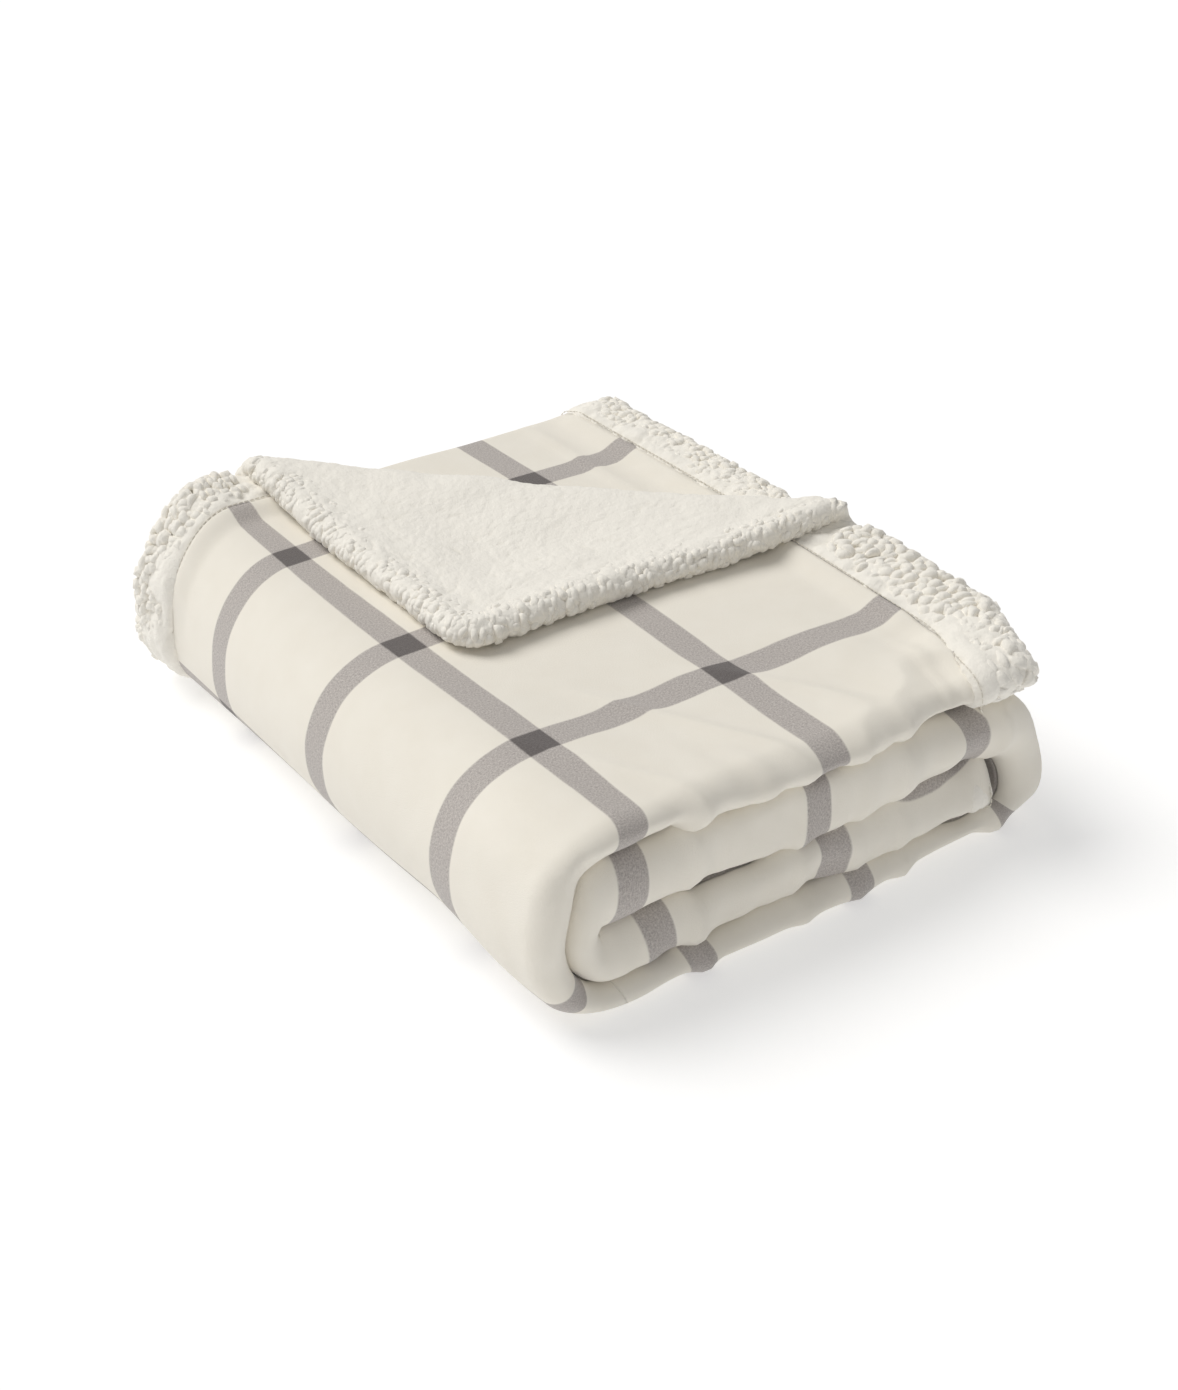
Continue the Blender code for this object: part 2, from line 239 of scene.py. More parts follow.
def settle(p):
    """Moves exact places to where they lie in a stack that has settled."""
    x, y, z = p[..., 0].copy(), p[..., 1].copy(), p[..., 2].copy()
    front = step(low.y + 0.11, low.y + 0.012, y)
    flat = [0, layer_pitch, 2 * layer_pitch, 3 * layer_pitch, stack_top, stack_top + 0.1]
    rolled = [*ROLL_HEIGHTS, stack_top, stack_top + 0.1]
    eased = sum(np.interp(z + o, flat, rolled) - o for o in np.linspace(-ROLL_BLUR, ROLL_BLUR, 9)) / 9
    z += front * step(0, 0.004, z) * (eased - z)
    inside = np.interp(z, [0, 0.02, 0.046, 0.085, stack_top], [0, 0.6, 1, 0.5, 0])
    near_left = np.interp(x, [low.x, low.x + 0.026, left_x, left_x + 0.09], [0, 0.45, 1, 0])
    x -= FRONT_PUSH * front * inside * near_left
    x += (LEFT_TUCK + BACK_TUCK * step(0.0, back, y) * step(0.0, 0.06, z)) * step(right - 0.25, low.x, x)
    corner = step(low.y + 0.06, low.y, y) * step(0.05, right, x) * step(0.078, 0.096, z)
    x -= END_TUCK * corner
    z += BACK_SWELL * bump(-0.118, 0.05, x) * step(0.13, back, y) * step(0.085, stack_top, z)
    z -= FRONT_DIP * step(low.y + 0.2, low.y, y) * step(-0.16, 0.08, x) * step(0.07, stack_top, z)
    q = np.stack([x, np.full_like(x, 0.3), z], -1)
    wander = step(0.0, 0.040, z) * step(stack_top + 0.01, stack_top - 0.02, z)
    slow, quick = noise(q, (0.042, 1, 0.03), 5), noise(q, (0.014, 1, 0.02), 6)
    z += front * wander * (SLOW_WANDER * slow + QUICK_WANDER * quick)
    y -= step(0.1, 0.0, y) * (NOSE_WANDER * noise(q, (0.11, 1, 0.022), 7) + FOOT_OUT * step(0.03, 0.012, z))
    return np.stack([x, y, z], -1)


print("front rolls meet at", [round(h * 1000) for h in ROLL_HEIGHTS[1:]], "mm")


# %% [markdown]
# ## The corner that is turned back
# The upper ply's corner is turned over a soft diagonal fold. In the triangle beyond the fold a point is
# known by beyond, its distance past the fold line, and aside, its place along that line.

# %% the diagonal fold
CORNER_LEG = 0.266      # how much of each edge is turned back
FOLD_RADIUS = 0.0045
TIP_ROUND = 0.022       # the blanket's corner is rounded off
FLAP_REST = 0.0052      # how high the turned corner lies over the cloth below, at its hem
SEAM_DROP = 0.0032      # inside the hem it lies lower
EDGE_RISE = 0.0022      # and part of its edge stands up
FOLD_WANDER = 0.004
FLAP_SLIDE = 0.008
ROOT2 = math.sqrt(2)
fold_length = math.pi * FOLD_RADIUS
tip_centre = CORNER_LEG / ROOT2 - TIP_ROUND * ROOT2


def corner_edge(beyond, aside):
    """Distance from the nearest edge of the blanket, whose corner is rounded."""
    straight = (CORNER_LEG / ROOT2 - beyond - np.abs(aside)) / ROOT2
    rounded = TIP_ROUND - np.hypot(beyond - tip_centre, aside)
    return np.where(beyond - tip_centre > np.abs(aside), rounded, straight)


def lay_corner(beyond, aside, depth):
    """Lays a point of the turned corner. A point before the fold line lies flat on the top layer."""
    turn = np.clip(beyond / FOLD_RADIUS, 0, math.pi)
    before = np.minimum(beyond, 0)
    run = np.maximum(beyond - fold_length, 0)
    end = step(0.09, 0.165, np.abs(aside))
    radius = FOLD_RADIUS + 0.0006 * end
    edge = corner_edge(beyond, aside)
    rest = FLAP_REST - SEAM_DROP * step(HEM - 0.006, HEM + 0.03, edge)
    rest = rest + EDGE_RISE * bump(-0.03, 0.08, aside) * step(0.03, 0.0, edge)
    lift = 2 * radius + (rest - 2 * radius) * step(0, 0.07, run)
    wander = noise(np.stack([aside, aside * 0, aside * 0], -1), 0.07, 31)
    outward = (radius + depth) * np.sin(turn) - run + before + FOLD_WANDER * wander
    x = right - (CORNER_LEG + ROOT2 * aside) / 2 + outward / ROOT2
    y = back - (CORNER_LEG - ROOT2 * aside) / 2 + outward / ROOT2
    slide = FLAP_SLIDE * step(0, 0.1, run) / ROOT2
    bent = stack_top + radius - (radius + depth) * np.cos(turn)
    z = np.where(turn < math.pi, bent, stack_top + lift + depth)
    x, y = x - slide, y + slide
    return settle(np.stack([x, y, z], -1))


def lay(along, across, depth):
    """Lays any point of the cloth other than the turned corner."""
    along, across, depth = np.broadcast_arrays(*(np.asarray(v, float) for v in (along, across, depth)))
    y, up = fold_across(across, depth)
    x, z = wind_along(along, up)
    return settle(np.stack([x, y, z], -1))


print(f"the corner turns back {CORNER_LEG * 1000:.0f} mm along each edge")

# %% [markdown]
# ## The pattern
# The print is a windowpane of grey stripes, woven into the cloth, so it must follow the cloth and not the
# world. Each vertex carries where it is in the flat pattern, counted in squares, as its UV. The stripes are
# placed on each layer in metres, in order along the cloth, except on the left wrap, where the place is an
# angle. The squares in between are shared out evenly.

# %% stripes along and across the cloth
STRIPES = (("top", 0.1345), ("top", 0.0120), ("top", -0.1105), ("left", 131),
           ("bottom", -0.069), ("bottom", 0.034), ("bottom", 0.146),
           ("second", 0.1141), ("second", 0.0036), ("second", -0.1046),
           ("third", -0.087), ("third", 0.0157), ("third", 0.155))
SQUARE = 0.12
FIRST_ACROSS = 0.0986       # the first stripe's distance from the back edge
MIDDLE_SHIFT = 0.44         # the middle ply's stripes lie part of a square to the side, in squares
MIDDLE_BACK = 0.008         # and a little further back
THIRD_SHIFT = 0.0095        # part of the third layer has its stripe this much nearer the back


def along_at(layer, place):
    """The distance along the cloth of a place on one of the layers."""
    return {"top": right - place,
            "left": b1 + math.radians(place) * (left_inner + layer_thick),
            "bottom": b2 + place - left_x,
            "second": b4 + right_x - place,
            "third": b6 + place - left_x}[layer]


stripe_at = [along_at(*s) for s in STRIPES]
print("squares along:", [round((b - a) * 1000) for a, b in zip(stripe_at, stripe_at[1:])])


def pattern(along, across):
    """A point's place in the pattern, in squares."""
    u = np.interp(along, [stripe_at[0] - SQUARE, *stripe_at], np.arange(-1, len(stripe_at)))
    u = u + MIDDLE_SHIFT * step(w2 + 0.05, w3 - 0.05, across) * (along < b1 + 0.05)
    shown = bump(along_at("third", 0.085), 0.055, along) * THIRD_SHIFT
    return np.stack([u, (across + shown - FIRST_ACROSS + MIDDLE_BACK * (across > w3)) / SQUARE], -1)


# %% [markdown]
# ## Meshes from rows of points
# Every piece is a grid of rows, closed into one solid. A cloth is an outer and an inner grid joined at the
# rim, and a puffy hem is a ring of points carried along an edge, with a cap at each end. The arrays are
# handed to the mesh whole, which is much faster than adding faces one by one.

# %% build a mesh
FLOOR_CLEAR = 0.0003


def make_mesh(name, points, faces, uv=None, pile=None, flat_faces=0):
    """Makes an object of triangles and quads, where a triangle's fourth number is -1.

    Nothing goes below the floor, and the last flat_faces faces are shaded flat."""
    mesh = bpy.data.meshes.new(name)
    points = np.column_stack([points[:, :2], np.maximum(points[:, 2], FLOOR_CLEAR)])
    faces = np.asarray(faces, np.int32)
    sides = np.where(faces[:, 3] < 0, 3, 4)
    corners = faces[faces >= 0]
    mesh.vertices.add(len(points))
    mesh.vertices.foreach_set("co", points.astype(np.float32).ravel())
    mesh.loops.add(len(corners))
    mesh.loops.foreach_set("vertex_index", corners.astype(np.int32))
    mesh.polygons.add(len(faces))
    mesh.polygons.foreach_set("loop_start", np.concatenate([[0], np.cumsum(sides)[:-1]]).astype(np.int32))
    mesh.polygons.foreach_set("loop_total", sides.astype(np.int32))
    mesh.update(calc_edges=True)
    mesh.polygons.foreach_set("use_smooth", np.arange(len(faces)) < len(faces) - flat_faces)
    if uv is not None:
        mesh.uv_layers.new(name="cloth").data.foreach_set("uv", uv[corners].astype(np.float32).ravel())
    # The pile attribute carries painted shade for the sherpa: it is low in the creases and under the locks.
    if pile is not None:
        mesh.attributes.new("pile", "FLOAT", "POINT").data.foreach_set("value", pile.astype(np.float32))
    mesh.validate()
    obj = bpy.data.objects.new(name, mesh)
    bpy.context.scene.collection.objects.link(obj)
    print(f"{name}: {len(points)} points, {len(faces)} faces")
    return obj


def grid_faces(rows, columns, ring=False, first=0, flip=False):
    """The quads of a grid of points, closed round its columns if it is a ring."""
    index = first + np.arange(rows * columns).reshape(rows, columns)
    if ring:
        index = np.concatenate([index, index[:, :1]], 1)
    quads = np.stack([index[:-1, :-1], index[:-1, 1:], index[1:, 1:], index[1:, :-1]], -1).reshape(-1, 4)
    return quads[:, ::-1] if flip else quads


def outward(points, faces):
    """The faces, turned round if they face inwards."""
    tri = faces[:, :3]
    a, b, c = (points[tri[:, i]] - points.mean(0) for i in range(3))
    volume = np.einsum("ij,ij->", a, np.cross(b, c))
    if faces.shape[1] == 4:
        k = faces[:, 3] >= 0
        a, b, c = (points[faces[k, i]] - points.mean(0) for i in (0, 2, 3))
        volume += np.einsum("ij,ij->", a, np.cross(b, c))
    if volume > 0:
        return faces
    turned = faces[:, ::-1].copy()
    k = turned[:, 0] < 0
    turned[k] = np.roll(turned[k], -1, 1)
    return turned


def shell(name, outer, inner, uv):
    """A cloth: two grids, joined by walls round the rim."""
    rows, columns = outer.shape[:2]
    n = rows * columns
    points = np.concatenate([outer.reshape(-1, 3), inner.reshape(-1, 3)])
    index = np.arange(n).reshape(rows, columns)
    rim = np.concatenate([index[0], index[1:, -1], index[-1, -2::-1], index[-2:0:-1, 0]])
    turn = np.roll(rim, -1)
    walls = np.stack([rim, rim + n, turn + n, turn], -1)
    faces = np.concatenate([grid_faces(rows, columns), grid_faces(rows, columns, first=n, flip=True), walls])
    uv = np.concatenate([uv.reshape(-1, 2)] * 2)
    return make_mesh(name, points, outward(points, faces), uv, None, len(walls))


def cap(columns):
    """Closes a ring straight across: each point is joined to the one facing it."""
    k = np.arange(1, (columns - 1) // 2)
    faces = [np.stack([k, k + 1, columns - k - 1, columns - k], -1), [[0, 1, columns - 1, -1]]]
    if columns % 2 == 0:
        faces.append([[columns // 2 - 1, columns // 2, columns // 2 + 1, -1]])
    return np.concatenate(faces)


def tube(name, rings, pile):
    """One closed tube of many rings, with a cap at each end."""
    rows, columns = rings.shape[:2]
    points, end = rings.reshape(-1, 3), cap(columns)
    last = np.where(end < 0, -1, end + (rows - 1) * columns)
    start = end[:, ::-1].copy()
    k = start[:, 0] < 0
    start[k] = np.roll(start[k], -1, 1)
    faces = np.concatenate([grid_faces(rows, columns, ring=True), last, start])
    return make_mesh(name, points, outward(points, faces), None, pile.ravel(), 2 * len(end))


def strands(name, rings, pile=None):
    """Many short closed tubes in one mesh: rings is counted by tube, ring and side."""
    count, rows, sides = rings.shape[:3]
    fan = np.array([[0, k, k + 1, k + 2] for k in range(1, sides - 2, 2)])
    one = np.concatenate([grid_faces(rows, sides, ring=True), fan, fan[:, ::-1] + (rows - 1) * sides])
    faces = (one[None] + np.arange(count)[:, None, None] * rows * sides).reshape(-1, 4)
    points = rings.reshape(-1, 3)
    return make_mesh(name, points, outward(points, faces), None, None if pile is None else pile.ravel())


def normals(grid, away, ring=False):
    """Unit normals of a grid of points, turned so that on the whole they point the way of away."""
    if ring:
        across = np.roll(grid, -1, 1) - np.roll(grid, 1, 1)
    else:
        across = np.gradient(grid, axis=1)
    n = np.cross(np.gradient(grid, axis=0), across)
    n /= np.maximum(np.linalg.norm(n, axis=-1, keepdims=True), 1e-12)
    return n * np.sign(np.einsum("ijk,ijk->", n, away))


# %% [markdown]
# ## The printed cloth
# It is woven and brushed, about a millimetre thick, and it drapes: it lifts onto the fat hem at its edges,
# it pleats where it turns round the front rolls, and it is almost flat on top. A piece is a range of along
# and across, sampled finely where it shows and coarsely where it is shut inside the stack.

# %% drape of the printed cloth
SEAM_ALONG = 0.045      # where the print stops at the end hem, on the upper ply
SEAM_UNDER = 0.030      # and on the plies below
WEAVE = 0.0011          # the printed cloth's thickness
PLEAT, FINE_PLEAT = 0.0022, 0.0010
SLACK_FOLD = 0.0030     # folds in the slack cloth at the front of the top
SOFT_WAVE = 0.0012
GATHER = 0.0030         # puckers beside the end seam at the front
HEM_RISE = 0.0055       # how far the print lifts to meet the hem
SEAM_RIDGE = 0.0018     # a soft ridge beside that seam


def seam_along(across):
    """Where the print stops and the end hem starts: the plies don't lie exactly on each other."""
    return SEAM_ALONG + (SEAM_UNDER - SEAM_ALONG) * step(w2, w3, across)


def drape(along, across, p):
    """How far the print stands out from its resting place, in metres."""
    x, y, z = p[..., 0], p[..., 1], p[..., 2]
    nose = step(w1 - 0.05, w1 + 0.012, across) * step(w2 + 0.03, w2, across)
    flat = step(low.y, low.y + 0.05, y)
    q = np.stack([x + 0.3 * (y - low.y), y * 0.35, z], -1)
    wide, narrow = noise(q, (0.030, 0.5, 0.05), 11), noise(q, (0.010, 0.5, 0.03), 12)
    pleats = nose * step(0.0, 0.022, z) * (PLEAT * wide + FINE_PLEAT * narrow)
    q = np.stack([x + 0.55 * y, (y - 0.4 * x) * 0.5, z * 0], -1)
    slack = step(low.y + 0.16, low.y + 0.02, y) * step(-0.14, -0.06, x)
    fold = 1 - np.abs(noise(q, (0.034, 0.045, 1), 13)) * 2
    soft = SLACK_FOLD * slack * fold + SOFT_WAVE * flat * noise(q, (0.06, 0.06, 1), 14)
    gather = bump(seam_along(across), 0.05, along) * step(low.y + 0.13, low.y + 0.02, y)
    soft = soft + GATHER * gather * noise(np.stack([x * 0.3, y, z], -1), (0.03, 0.017, 0.03), 15)
    return pleats + soft


def onto_hem(along, across):
    """How far the print is lifted by the hem beside it, where it shows."""
    to_seam = np.minimum(along - seam_along(across), across - HEM)
    upper = step(w2 + 0.02, w1 + 0.01, across) * step(b2 - 0.05, b1 + 0.02, along)
    under = step(w4 - 0.008, w4 + 0.016, across) * (along < b1)
    at_front = step(low.y + 0.1, low.y + 0.02, back - across)
    ridge = SEAM_RIDGE * bump(0.017, 0.008, along - SEAM_ALONG) * at_front
    return (HEM_RISE * step(0.017, 0.001, to_seam) + ridge) * np.maximum(upper, under)


def whole(along, across):
    return along, across


def printed(name, along, across, keep=whole):
    """A piece of print over a range of along and across, which keep can trim."""
    along, across = keep(*np.meshgrid(along, across))
    rest = lay(along, across, along * 0)
    n = normals(rest, rest - lay(along, across, along * 0 + 0.001))
    outer = rest + n * drape(along, across, rest)[..., None]
    lifted = lay(along, across, -onto_hem(along, across)) - rest
    outer = outer + lifted
    return shell(name, outer, outer - n * WEAVE, pattern(along, across))


def spaced(*stops):
    """Values from (start, spacing), (next, spacing) ... to the last value."""
    out = []
    for (a, spacing), b in zip(stops, [s[0] if isinstance(s, tuple) else s for s in stops[1:]]):
        out.append(np.linspace(a, b, max(2, int(round((b - a) / spacing)) + 1))[:-1])
    last = stops[-1][0] if isinstance(stops[-1], tuple) else stops[-1]
    return np.concatenate(out + [[last]])


def started(along, start):
    """The same rows, each drawn in so that it begins at start."""
    share = (along - along[:, :1]) / (along[:, -1:] - along[:, :1])
    return start + share * (along[:, -1:] - start)


def cut_corner(along, across):
    """Starts each row at the seam, or at the diagonal fold where the corner is turned back."""
    return started(along, np.maximum(seam_along(across), CORNER_LEG - across)), across


def from_seam(along, across):
    return started(along, seam_along(across)), across


# %% the printed pieces
FINE, FINEST = 0.0026, 0.0018
END = w5 - HEM              # where the print stops across the cloth
PRINT_STOP = b7 - 0.001     # and along it

top_upper = printed("top_print", spaced((SEAM_ALONG, FINE), b2),
                    spaced((HEM, FINE), (w1 - 0.02, FINEST), w2), cut_corner)
top_under = printed("top_print_inside", spaced((SEAM_ALONG, 0.004), b2),
                    spaced((w2, 0.012), (w3 - 0.02, 0.003), (w4, 0.004), (w4 + 0.26, 0.012), END), from_seam)
stack_upper = printed("stack_print", spaced((b2, 0.0032), PRINT_STOP),
                      spaced((HEM, 0.008), (w1 - 0.03, FINEST), w2))
stack_under = printed("stack_print_inside", spaced((b2, 0.005), PRINT_STOP),
                      spaced((w2, 0.003), (w2 + 0.02, 0.02), (w3 - 0.02, 0.004), (w4 + 0.01, 0.03), END))


# %% the print on the turned back corner
def corner_print(name, beyond):
    """Print between the hems of the turned corner, in rows that run along the fold."""
    beyond = beyond[:, None]
    reach = np.maximum(CORNER_LEG / ROOT2 - beyond - HEM * ROOT2, 1e-4)
    aside = np.linspace(-1, 1, 150)[None, :] * reach
    beyond = np.broadcast_to(beyond, aside.shape)
    outer = lay_corner(beyond, aside, aside * 0)
    inner = lay_corner(beyond, aside, aside * 0 + WEAVE)
    along = (CORNER_LEG - ROOT2 * (beyond - aside)) / 2
    across = (CORNER_LEG - ROOT2 * (beyond + aside)) / 2
    return shell(name, outer, inner, pattern(along, across))


corner_tip = CORNER_LEG / ROOT2 - HEM * ROOT2 - 0.0006
corner_under = corner_print("corner_print", np.linspace(fold_length, corner_tip, 60))
corner_bend = corner_print("corner_bend_print", np.linspace(0, fold_length, 14))

# %% [markdown]
# ## The sherpa
# Sherpa is a knitted pile combed into small tight curls. Up close it is rounded tufts with dark creases
# between them, so each sherpa surface is moved out along its normal by that kind of noise at three sizes. A
# bump in the material alone would leave the outline smooth, so the tufts are real surface. Their height is
# kept in an attribute, so the material can paint shade into the creases.

# %% push out the curls
PILE = 0.0082
BIG_TUFT, TUFT, SMALL_TUFT = 0.0092, 0.0052, 0.0030
CURL_BASE = 0.0018      # the pile's foot lies this far under its middle height


def curl(rings, edgy=1.0, tuck=0.0):
    """Moves a ring surface out into tufts: long ones where edgy is 1, combed flat where it is 0."""
    n = normals(rings, rings - rings.mean(1, keepdims=True), True)
    q = rings * (1, 1, 0.45)
    q = q + 0.0022 * np.stack([noise(rings, 0.007, seed) for seed in (46, 47, 48)], -1)
    big, middle, small = tufts(q, BIG_TUFT, 42), tufts(q, TUFT, 45), tufts(rings, SMALL_TUFT, 43)
    soft = noise(rings, 0.026, 44)
    height = (0.0006 + 0.0020 * edgy) * big + (0.0006 + 0.0010 * edgy) * middle
    height = height + (0.0003 + 0.0003 * edgy) * small + 0.0014 * soft - CURL_BASE
    # How high each point sits on its tufts: the material paints shade, a darker colour, where this is low, in
    # the creases.
    pile = np.clip(0.1 + 0.4 * big + 0.35 * middle + 0.25 * small, 0, 1)
    return rings + n * (height - tuck)[..., None], pile


# %% [markdown]
# The hem is the sherpa turned over the print's edge, so it is one closed ring of points carried along the
# edge. It puffs up where nothing lies on it, and it is pressed flat inside the stack.

# %% hems
PUFF = 0.0075           # how high a hem stands over the print
STACK_PUFF = 0.005
THIRD_HEM = 0.012       # the third layer's end shows only a narrow hem
THIRD_SINK = 0.0024


def hem_ring(count, border):
    """A puffy flattened ring: how far in from the edge, and how high between the lower and the upper side."""
    t = np.linspace(0, 2 * math.pi, 2000)
    power = 2 / 3.0
    a = np.sign(np.cos(t)) * np.abs(np.cos(t)) ** power
    h = np.sign(np.sin(t)) * np.abs(np.sin(t)) ** power
    walked = np.concatenate([[0], np.cumsum(np.hypot(np.diff(a) * border / 2, np.diff(h) * 0.007))])
    at = np.linspace(0, walked[-1], count + 1)[:-1]
    return np.interp(at, walked, a), np.interp(at, walked, h)


def hem(name, place, start, end, spacing, puff, border=HEM, around=56, from_fold=(False, False)):
    """A hem along an edge. place(edge, inward, depth) lays it, and puff(edge) is its height over the print.

    Where from_fold is true for an end, that end is cut on the slant to meet the diagonal fold."""
    side, up = hem_ring(around, border)
    inward = border / 2 * (1 - side)
    rows = int((end - start) / spacing) + 1
    share = np.linspace(0, 1, rows)[:, None]
    first = CORNER_LEG - inward if from_fold[0] else np.full_like(inward, start)
    last = CORNER_LEG - inward if from_fold[1] else np.full_like(inward, end)
    edge = first + share * (last - first)
    high = puff(edge) * (1 + 0.25 * noise(np.stack([edge, edge * 0, edge * 0], -1), 0.05, 51))
    depth = (PILE - high) / 2 - up * (PILE + high) / 2
    rings, pile = curl(place(edge, inward + 0 * edge, depth))
    return tube(name, rings, pile)


def outside_left(along):
    """The hem's height at the back of the top layer: it is pressed flat where it goes round the left wrap."""
    return PUFF * step(b2 - 0.02, b2 - 0.09, along)


def outside_right(along):
    return STACK_PUFF * step(b3, b3 + 0.03, along) * step(b4 + 0.01, b4 - 0.03, along)


def pressed(along):
    return along * 0


def end_puff(across):
    shown = step(w2 - 0.012, w2 - 0.03, across) * step(CORNER_LEG - 0.05, CORNER_LEG, across + 0.04)
    return PUFF * shown + PUFF * 0.8 * step(w4, w4 + 0.012, across) * step(w4 + 0.26, w4 + 0.2, across)


def lay_end(edge, inward, depth):
    return lay(inward * seam_along(edge) / HEM, edge, depth)


def lay_inner(edge, inward, depth):
    return lay(edge, w5 - inward, depth)


def lay_third(edge, inward, depth):
    return lay(b7 - inward, edge, THIRD_SINK + 0.6 * depth)


hem_stop = b7 - THIRD_HEM
top_back_hem = hem("top_back_hem", lay, CORNER_LEG, b2, 0.0016, outside_left, from_fold=(True, False))
top_end_hem = hem("right_hem", lay_end, CORNER_LEG, w5 - 0.001, 0.0017, end_puff, from_fold=(True, False))
stack_back_hem = hem("stack_back_hem", lay, b2, hem_stop, 0.0019, outside_right, around=44)
top_inner_hem = hem("top_inner_hem", lay_inner, SEAM_UNDER, b2, 0.006, pressed, around=24)
stack_inner_hem = hem("stack_inner_hem", lay_inner, b2, hem_stop, 0.006, pressed, around=24)
third_end_hem = hem("third_layer_hem", lay_third, 0.0, w5, 0.003, pressed, border=THIRD_HEM, around=30)


# %% the backing between the plies
BACKING_DEPTH = 0.0046      # where the backing starts, under the print
BACKING_INSET = 0.02        # it ends inside the hems


def backing(name, along, across, keep=whole):
    """Sherpa behind a range of the print, where it is shut between two plies."""
    along, across = keep(*np.meshgrid(along, across))
    face = lay(along, across, along * 0 + BACKING_DEPTH)
    back_side = lay(along, across, along * 0 + PILE)
    return shell(name, face, back_side, pattern(along, across))


def cut_backing(along, across):
    return started(along, np.maximum(BACKING_INSET, CORNER_LEG - across + 0.002)), across


plies = ((w1, 0.004), (w2, 0.015), (w3, 0.004), (w4, 0.015), w5 - BACKING_INSET)
top_backing = backing("top_sherpa_back", spaced((BACKING_INSET, 0.008), b2),
                      spaced((BACKING_INSET, 0.008), *plies), cut_backing)
stack_backing = backing("stack_sherpa_back", spaced((b2, 0.007), b7 - 0.006),
                        spaced((BACKING_INSET, 0.012), *plies))

# %% [markdown]
# The turned corner is one piece of sherpa seen from its furry side, with the hem rolled over onto the print
# below. Its rows run parallel to the fold and close round both edges.

# %% the sherpa corner
EDGE_ROUND = 0.0084         # the pile rounds off over this distance from an edge
NEAR_EDGE = np.array([0.0, 0.0004, 0.0012, 0.0024, 0.0040, 0.0060, EDGE_ROUND])
CORNER_PUFF = 0.0042
BEHIND_PRINT = -0.0016      # past the hem the sherpa stays behind the corner's print


def half_width(beyond):
    """Half the corner's width at a distance past the fold: straight edges, and then the rounded tip."""
    if beyond < tip_centre + TIP_ROUND / ROOT2:
        return CORNER_LEG / ROOT2 - beyond
    return math.sqrt(max(TIP_ROUND ** 2 - (beyond - tip_centre) ** 2, 1e-9))


def corner_rings(beyond, count):
    """A closed ring for each distance past the fold, and how near each of its points is to the edge."""
    rows = []
    for s in beyond:
        reach = half_width(s)
        inset = NEAR_EDGE * ROOT2 * min(1, reach / 0.03)
        inner = np.linspace(-(reach - inset[-1]), reach - inset[-1], count)[1:-1]
        line = np.concatenate([inset - reach, inner, (reach - inset)[::-1]])
        edge = np.maximum(corner_edge(s, line), 0)
        full = np.sqrt(np.clip(1 - (1 - np.clip(edge / EDGE_ROUND, 0, 1)) ** 2, 0, 1))
        at_seam = np.sqrt(np.clip((HEM - edge) / 0.006, 0, 1))
        puff = np.where(edge < HEM, CORNER_PUFF * np.clip(at_seam, 0, 1), BEHIND_PRINT)
        middle = (PILE - CORNER_PUFF) / 2
        over = middle + (PILE - middle) * full
        under = middle + (-puff - middle) * full
        rows.append((np.concatenate([line, line[-2:0:-1]]), np.concatenate([over, under[-2:0:-1]])))
    aside, depth = (np.array(v) for v in zip(*rows))
    beyond = np.broadcast_to(np.asarray(beyond)[:, None], aside.shape)
    return lay_corner(beyond, aside, depth), step(0.026, 0.004, corner_edge(beyond, aside))


def furry(name, beyond, count, shown):
    """A band of the corner. What lies outside shown[0] to shown[1] is tucked under the next piece."""
    rings, near = corner_rings(beyond, count)
    past = np.maximum(shown[0] - beyond, 0) + np.maximum(beyond - shown[1], 0)
    rings, pile = curl(rings, near, np.minimum(0.45 * past, 0.0012)[:, None])
    return tube(name, rings, pile)


ACROSS_CORNER = 290
round_end = tip_centre + TIP_ROUND
join = fold_length - 0.0006
corner_rows = np.concatenate([np.linspace(fold_length - 0.003, round_end - 0.006, 122),
                              round_end - NEAR_EDGE[1:-1][::-1]])
corner_top = furry("corner_pile", corner_rows, ACROSS_CORNER, (join, 1))
bend_rows = np.linspace(-0.002, fold_length + 0.002, 36)
corner_roll = furry("corner_bend_pile", bend_rows, ACROSS_CORNER, (-1, join))

# %% [markdown]
# Round every edge the pile stands out in locks. A lock is a short fat tube that lies roughly across the
# edge. It follows the rounded profile, so the same function makes locks on the hems and on the corner.

# %% locks round the edges
HALF = 0.0062           # half the thickness of a standard edge, which the locks follow
LOCK_PITCH = 0.0043
LOCK_LENGTH, MORE_LENGTH = 0.0060, 0.0040       # the shortest, and how much longer the longest is
LOCK_WIDTH, MORE_WIDTH = 0.0019, 0.0015
LOCK_TURN = 2.2                                 # how far they may aim away from straight across
LOCK_WAVE = 0.0009


